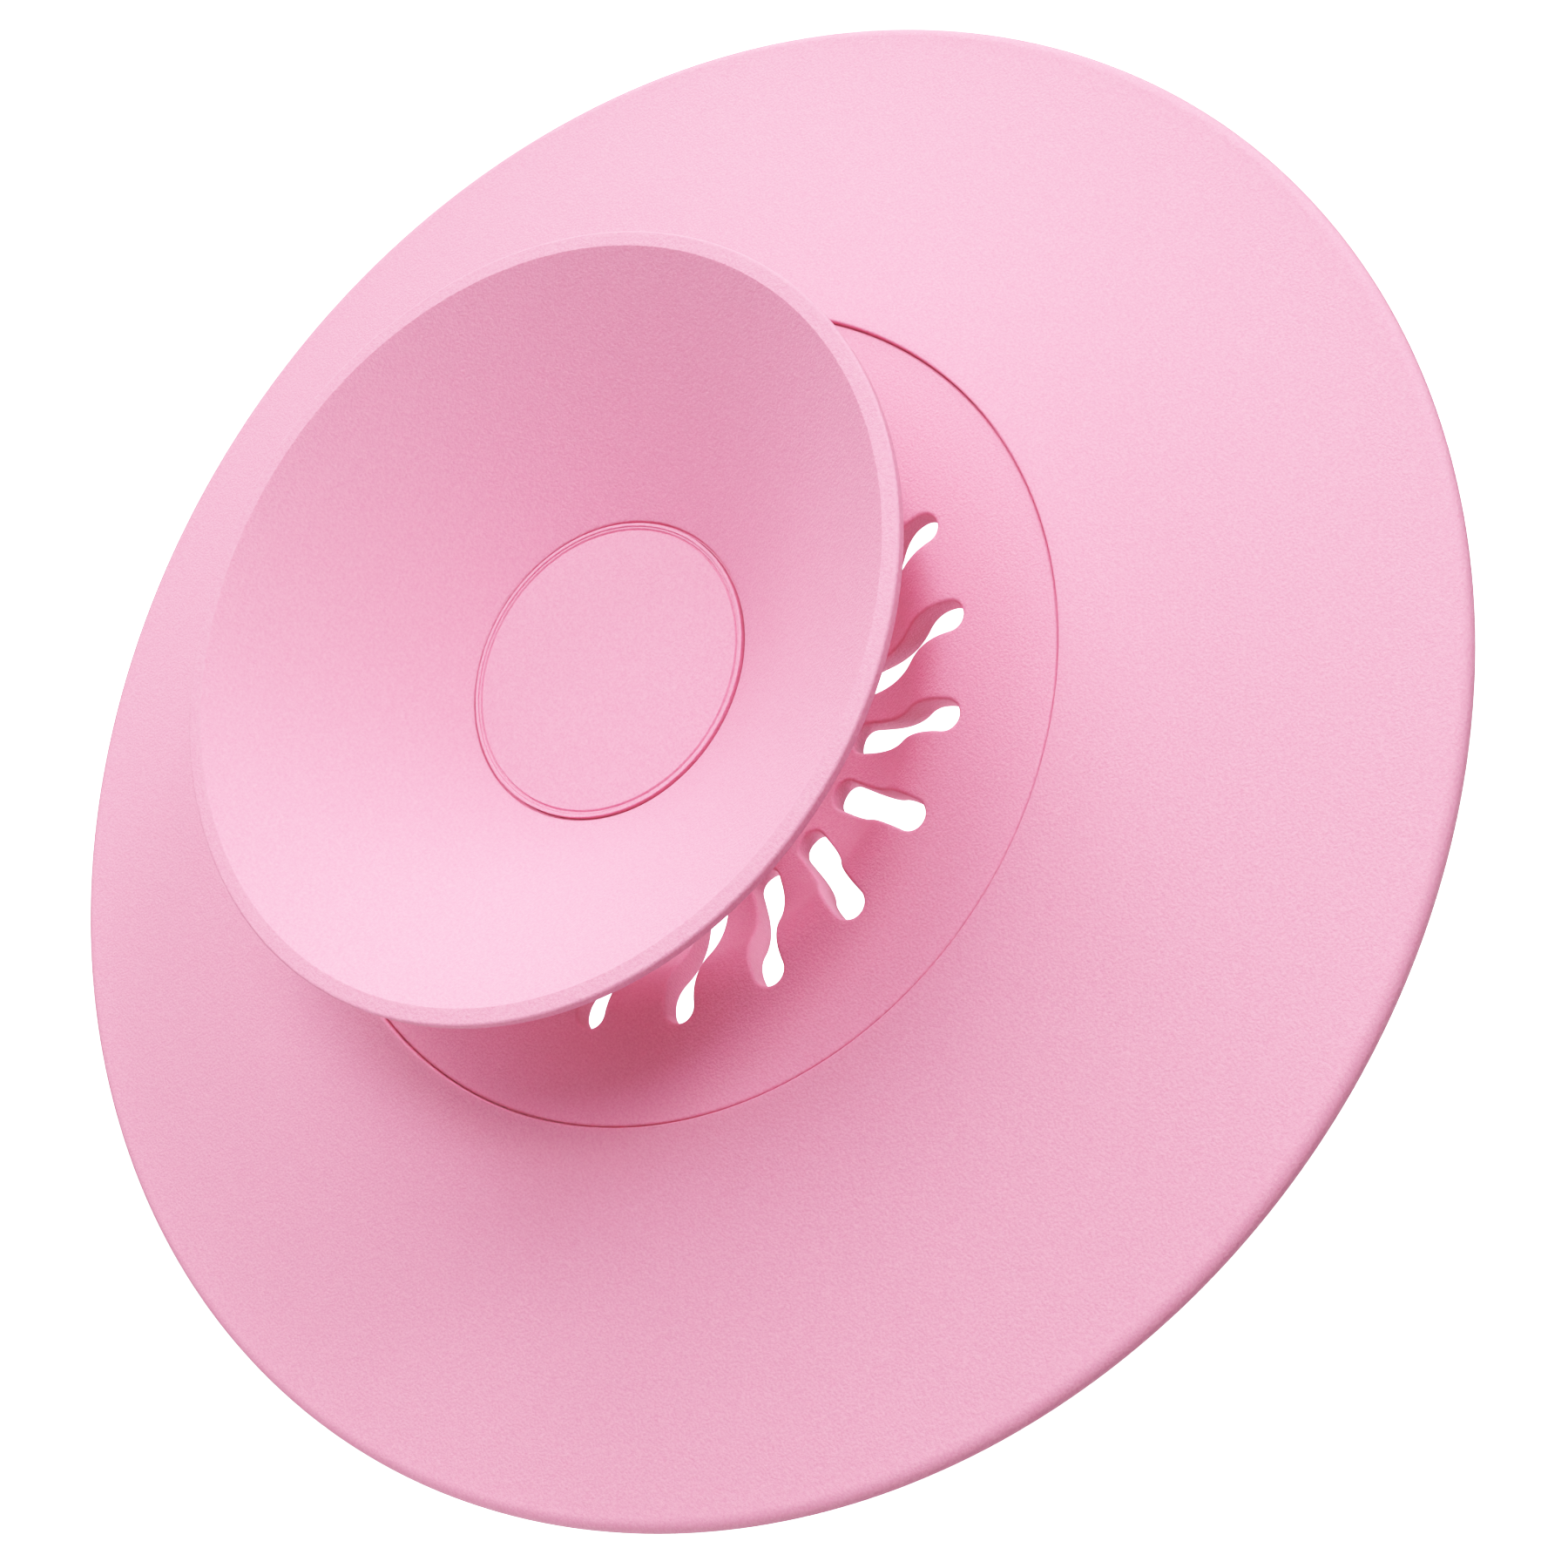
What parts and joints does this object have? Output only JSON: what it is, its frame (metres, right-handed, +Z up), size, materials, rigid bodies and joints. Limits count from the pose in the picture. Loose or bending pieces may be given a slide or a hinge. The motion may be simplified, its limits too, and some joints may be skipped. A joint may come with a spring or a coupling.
{
  "type": "floor drain cover",
  "caption": "Soft round drain cover with a slotted strainer dish and a cup on a stem that pulls up to drain and pushes down to close.",
  "frame": {"origin": "centre of the brim's flat underside, in the plane of the floor round the drain", "axes": "+Z up along the stem, out of the drain; -Y towards the picture's camera, +X to its right"},
  "size_m": [0.15, 0.15, 0.0508],
  "materials": {
    "brim": "pink silicone, fine matt moulded grain",
    "hub": "pink silicone, fine matt moulded grain",
    "cup": "pink silicone, fine matt moulded grain",
    "cap": "pink silicone, fine matt moulded grain",
    "stem": "natural nylon, satin",
    "bush": "white acetal, satin",
    "ring": "black nitrile rubber, dull",
    "clip": "stainless steel, stamped"
  },
  "bodies": {
    "cover": {"brim": "brim", "strainer_hub": "hub", "guide_bush": "bush"},
    "ring": {"friction_ring": "ring"},
    "valve": {"valve_cup": "cup", "centre_cap": "cap", "valve_stem": "stem", "stop_clip": "clip"}
  },
  "joints": [
    {"name": "valve_turn", "type": "hinge", "parent": "cover", "child": "ring", "pos_m": [0, 0, -0.01248], "axis": [0, 0, 1], "continuous": true},
    {"name": "valve_lift", "type": "slide", "parent": "ring", "child": "valve", "axis": [0, 0, 1], "range_m": [-0.017, 0]}
  ]
}
